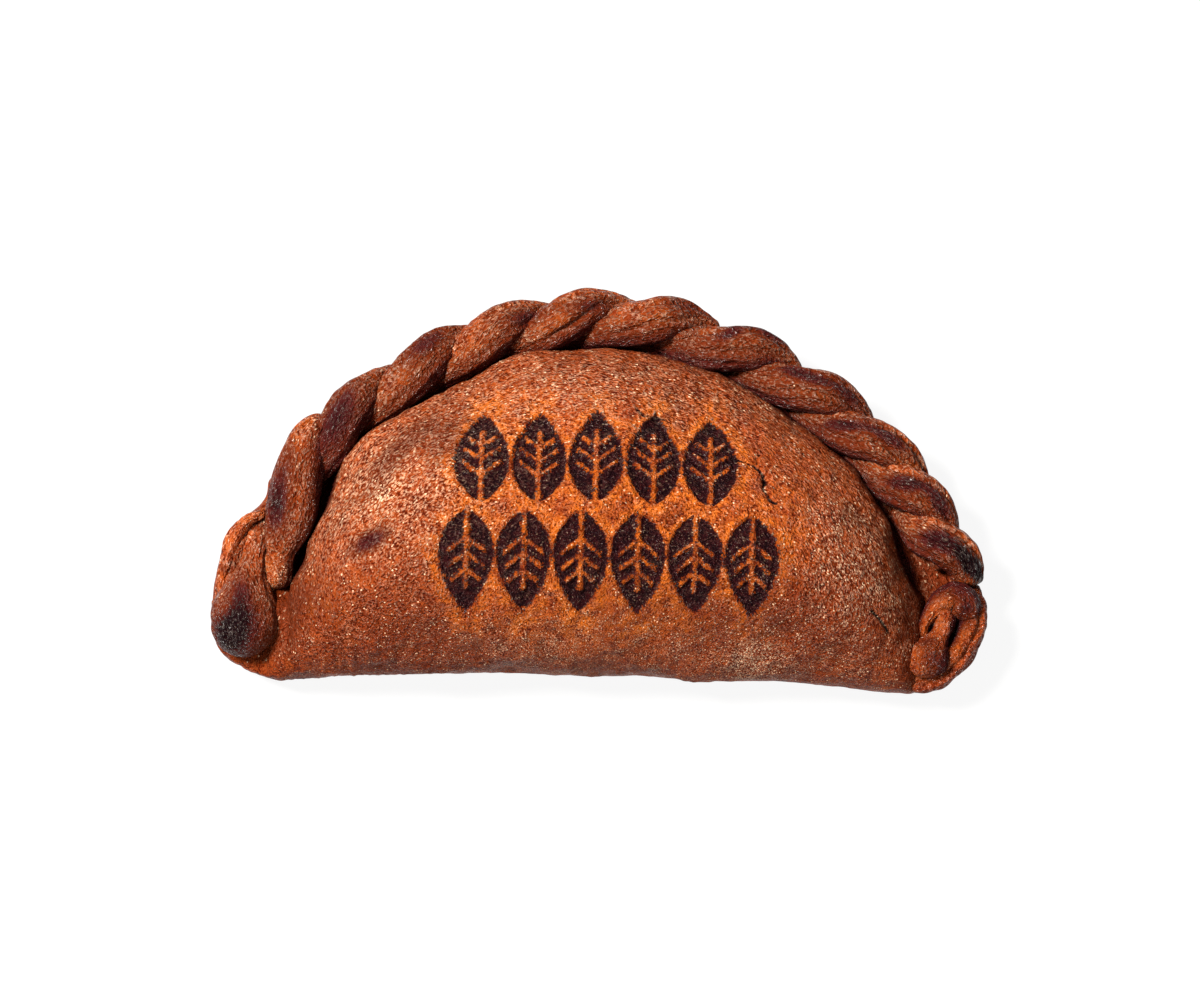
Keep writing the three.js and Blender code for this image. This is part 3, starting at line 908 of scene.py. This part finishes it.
def crimpLobe(i, draw):
    # Lobe i climbs from beside the dome over the rope and down its outer side, with one to three grooves
    m = crimp
    last = len(m["crests"]) - 1
    run, crest = m["runs"][i], m["crests"][i]
    sideways = mix(m["firstSideways"], m["lastSideways"], i / last)
    inwards = mix(m["inwards"], m["lastInwards"], smooth(i / last, 0.5, 0.9))

    def line(along):
        angle = np.radians(m["startAngle"] - m["sweep"] * along)
        out = np.cos(angle) * np.where(np.cos(angle) < 0, inwards, sideways)
        up = m["upwards"] * np.sin(angle) + m["innerLift"] * (1 - along)
        return besideRope(crest + (along - 0.5) * run, out, up)

    grooves = [(78 + draw.uniform(-8, 8), 30 + draw.uniform(-8, 8), 1.0, 8, 0.2, 0.95)]
    if i >= m["twoGroovesFrom"]:
        grooves.append((135 + draw.uniform(-10, 10), 85 + draw.uniform(-8, 8), 0.9, 8, 0.3, 0.9))
    if i >= m["threeGroovesFrom"]:
        grooves.append((160 + draw.uniform(-8, 8), 120, 0.4, 7, 0.15, 0.65))
    radius = lobeRadius(m["radii"][i], m["lastTip"] if i == last else m["tip"])
    relief = foldRelief(20 + 5 * i, grooves, 0.09)
    points, along, angle, place = fingerGrid(line, radius, m["along"], m["around"], 1.0, relief, run, i)
    # The web is the lobe's start, which lies between its neighbours
    web = smooth(along, m["webStart"], m["webEnd"])
    # Painted shade on the lobe's inner side, its underside and its web, which its neighbour shades; the rest
    # is its browning
    toast_and_shade = m["browned"][i] + 0.12 * web + 0.7 * hill(angle, np.pi, 1.15) + 0.5 * shadedUnderSide(angle)
    glow = 0.25 + 0.4 * hill(angle, 2.0, 0.5) * (1 - web)
    return bakedFinger(points, place, upFacing(angle), 1.15, toast_and_shade, 0.06 * web, 0.5 + 0.2 * web, glow)


def crimpPiece():
    m = crimp
    draw = np.random.default_rng(11)
    fingers = [crimpLobe(i, draw) for i in range(len(m["crests"]))]
    length = ropeRun[-1]
    points, along, angle, place = fingerGrid(
        lambda share: besideRope(length * mix(m["coreStart"], m["coreEnd"], share), 0, 0),
        dropRadius(m["coreRadius"], m["coreRound"], 0), m["coreAlong"], m["coreAround"], 1.0,
        foldRelief(90, [], 0.05), length, 20)
    fingers.append(bakedFinger(points, place, toast_and_shade=m["coreToast"]))
    makeFolds("ropeCrimp", fingers, foldCrust)


crimpPiece()


def endFinger(line, radius, along, around, length, seed, flatness=1, reliefSeed=0, grooves=(), wrinkle=0.08):
    # A finger through a few points
    relief = foldRelief(reliefSeed, grooves, wrinkle)
    return fingerGrid(throughPoints(line), radius, along, around, flatness, relief, length, seed)


# The left end of the crimp: its first long lobe, the flap with a rolled lip beside it and the knob

leftEnd = dict(
    lobe=dict(line=[(-57.9, -20.4, 11.6), (-57.7, -16.4, 12.3), (-57, -12.2, 13), (-55.5, -6, 13.6),
                    (-54.8, 0, 13.6), (-53, 6.6, 13), (-50.2, 11.6, 11.4)],
              radius=longLobeRadius(tail=2.7, full=4.55), along=150, around=80, flatness=0.95, length=34,
              seed=31, reliefSeed=120, wrinkle=0.09,
              grooves=[(40, 60, 0.8, 8, 0.25, 0.95), (95, 110, 0.35, 9, 0.3, 0.8)]),
    flap=dict(line=[(-60.4, -6.4, 9.4), (-62.8, -9.2, 9.8), (-64.7, -13.2, 9.9), (-65.6, -18, 9.8),
                    (-65.6, -24, 9.4)],
              radius=dropRadius(2.7, 0.4, 0.1), along=110, around=56, flatness=0.85, length=22, seed=32,
              reliefSeed=125, grooves=[(80, 80, 0.3, 14, 0, 1)]),
    lip=dict(line=[(-60.2, -6.4, 11.4), (-63.2, -7.9, 12.2), (-65.5, -10.4, 12.2), (-66.8, -14.2, 11.6),
                   (-67.6, -18.4, 10.4), (-68.2, -22.5, 8.6)],
             radius=dropRadius(1.4, 0.4, 0.2), along=110, around=28, length=16, seed=33, reliefSeed=140,
             wrinkle=0.05),
    knob=dict(line=[(-60.4, -9, 9.4), (-62, -14, 12.4), (-63, -19, 13.4), (-63.3, -23.5, 12.6),
                    (-63.4, -28, 11.4), (-63.3, -32.8, 10.2)],
              radius=pearRadius(neck=2.1, ball=6.3, neckEnd=0.22, ballPlace=0.7), along=150, around=100,
              flatness=0.92, length=24, seed=34, reliefSeed=130, grooves=[(150, 120, 0.2, 9, 0, 1)]),
)


def leftEndPiece():
    points, along, angle, place = endFinger(**leftEnd["lobe"])
    # Painted shade on the lobe's inner side and underside
    toast_and_shade = 0.7 * hill(angle, np.pi, 1.15) + 0.5 * shadedUnderSide(angle)
    flour, glow = 0.02 + 0.2 * smooth(along, 0.3, 0.1), 0.3 + 0.3 * hill(angle, 0.9, 0.4)
    lobe = bakedFinger(points, place, upFacing(angle), toast_and_shade=toast_and_shade, flour=flour, glow=glow)
    points, along, angle, place = endFinger(**leftEnd["flap"])
    flap = bakedFinger(points, place, toast_and_shade=0.2, flour=0.05, sheenAndCrumbs=0.6, glow=0.1)
    points, along, angle, place = endFinger(**leftEnd["lip"])
    lip = bakedFinger(points, place, sheenAndCrumbs=0.4, glow=0.3)
    points, along, angle, place = endFinger(**leftEnd["knob"])
    up = smooth(np.sin(angle), -0.3, 0.7)
    knob = bakedFinger(points, place, up, toast_and_shade=0.05 + 0.3 * along, glow=0.2)
    makeFolds("leftEnd", [lobe, flap, lip, knob], endCrust)


leftEndPiece()


# The curl at the right end: a hook bent over a finger of dough, with a folded band and its hem round both

curl = dict(
    hook=dict(line=[(59.2, -27.4, 11.2), (58.7, -25, 12.2), (59.9, -22.4, 12.5), (61.9, -20.2, 12.6),
                    (64.3, -19.2, 12.7), (66.3, -20.6, 12.6), (67.2, -23.2, 11.6)],
              radius=pearRadius(neck=1.1, ball=2.8, neckEnd=0.1, ballPlace=0.8), along=130, around=48,
              length=18, seed=41, reliefSeed=150, grooves=[(60, 95, 0.2, 12, 0, 1)]),
    finger=dict(line=[(63.3, -21.2, 12.4), (62.2, -25, 12.8), (60.6, -28.3, 12.6), (59.3, -30.9, 11.8),
                      (58.5, -33.2, 10.5)],
                radius=pearRadius(neck=1.7, ball=4, neckEnd=0.3, ballPlace=0.66), along=130, around=64,
                length=16, seed=42, reliefSeed=155, grooves=[(130, 120, 0.25, 10, 0, 0.8)], wrinkle=0.09),
    band=dict(line=[(67.9, -18.2, 10.4), (67.6, -22.4, 10.8), (66.6, -26.2, 10.6), (64.5, -29.8, 10.2),
                    (61.3, -32.5, 9.4), (58.4, -33.3, 8.6), (55.9, -32.5, 8.2)],
              radius=dropRadius(2.8, 0.35, 0), along=150, around=48, length=36, seed=43, reliefSeed=160,
              grooves=[(60, 55, 0.5, 12, 0, 1), (110, 100, 0.35, 10, 0.1, 0.9)]),
    hem=dict(line=[(68.2, -16, 8), (68.2, -19.6, 8), (67.3, -23.8, 7.8), (65.5, -27.8, 7.4),
                   (62.6, -31.2, 7)],
             radius=dropRadius(1.7, 0.4, 0), along=110, around=24, length=24, seed=44, reliefSeed=170,
             wrinkle=0.05),
)
# The side of each finger that is made darker
darkSides = dict(hook=1, finger=1, band=-1, hem=-1)  # 1 for the outer side and -1 for the inner side


def curlPiece():
    fingers = []
    for name, values in curl.items():
        points, along, angle, place = endFinger(**values)
        # Painted shade where a finger faces down, and darker on its side given in darkSides
        toast_and_shade = 0.1 + 0.4 * shadedUnderSide(angle) + 0.8 * hill(np.cos(angle), darkSides[name], 0.35)
        glow = 0.6 * hill(angle, 2.0, 0.8)
        fingers.append(bakedFinger(points, place, upFacing(angle), toast_and_shade=toast_and_shade, sheenAndCrumbs=0.2, glow=glow))
    makeFolds("foldedCurl", fingers, endCrust)


curlPiece()
print("crimp, knob and curl made")


# A pale floor and soft studio light, with the key light from the upper left, in metres

studio = dict(floorSize=6.0, floorColour=(0.08, 0.08, 0.08, 1), floorGlow=0.9, floorRough=0.9,
              white=(1, 1, 1, 1), worldStrength=0.22, aim=(0, 0, 0.01),
              key=dict(place=(-0.48, 0.17, 0.86), size=0.24, power=28, colour=(1, 0.97, 0.93)),
              fill=dict(place=(0.30, -0.75, 0.55), size=0.8, power=4.0, colour=(1, 1, 1)))


def makeFloor():
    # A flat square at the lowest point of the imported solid
    size = studio["floorSize"] / 2
    corners = [(x * size, y * size, cadLow[2]) for x, y in ((-1, -1), (1, -1), (1, 1), (-1, 1))]
    mesh = bpy.data.meshes.new("floor")
    mesh.from_pydata(corners, [], [(0, 1, 2, 3)])
    floor = bpy.data.objects.new("floor", mesh)
    bpy.context.collection.objects.link(floor)
    material = bpy.data.materials.new("paleFloor")
    material.use_nodes = True
    values = {"Base Color": studio["floorColour"], "Roughness": studio["floorRough"],
              "Specular IOR Level": 0, "Emission Color": studio["white"],
              "Emission Strength": studio["floorGlow"]}
    Nodes(material.node_tree).fill(material.node_tree.nodes["Principled BSDF"], values)
    mesh.materials.append(material)


def areaLight(name, place, size, power, colour):
    # A square light that looks at the object
    data = bpy.data.lights.new(name, "AREA")
    data.shape = "SQUARE"
    data.size = size
    data.energy = power
    data.color = colour
    light = bpy.data.objects.new(name, data)
    light.location = place
    light.rotation_mode = "QUATERNION"
    light.rotation_quaternion = (Vector(studio["aim"]) - Vector(place)).to_track_quat("-Z", "Y")
    bpy.context.collection.objects.link(light)


def makeStudio():
    makeFloor()
    areaLight("keyLight", **studio["key"])
    areaLight("fillLight", **studio["fill"])
    world = bpy.data.worlds.new("studioWorld")
    bpy.context.scene.world = world
    world.use_nodes = True
    values = {"Color": studio["white"], "Strength": studio["worldStrength"]}
    Nodes(world.node_tree).fill(world.node_tree.nodes["Background"], values)
    bpy.context.scene.view_settings.view_transform = "Standard"
    bpy.context.scene.view_settings.look = "None"


makeStudio()
print("studio made")
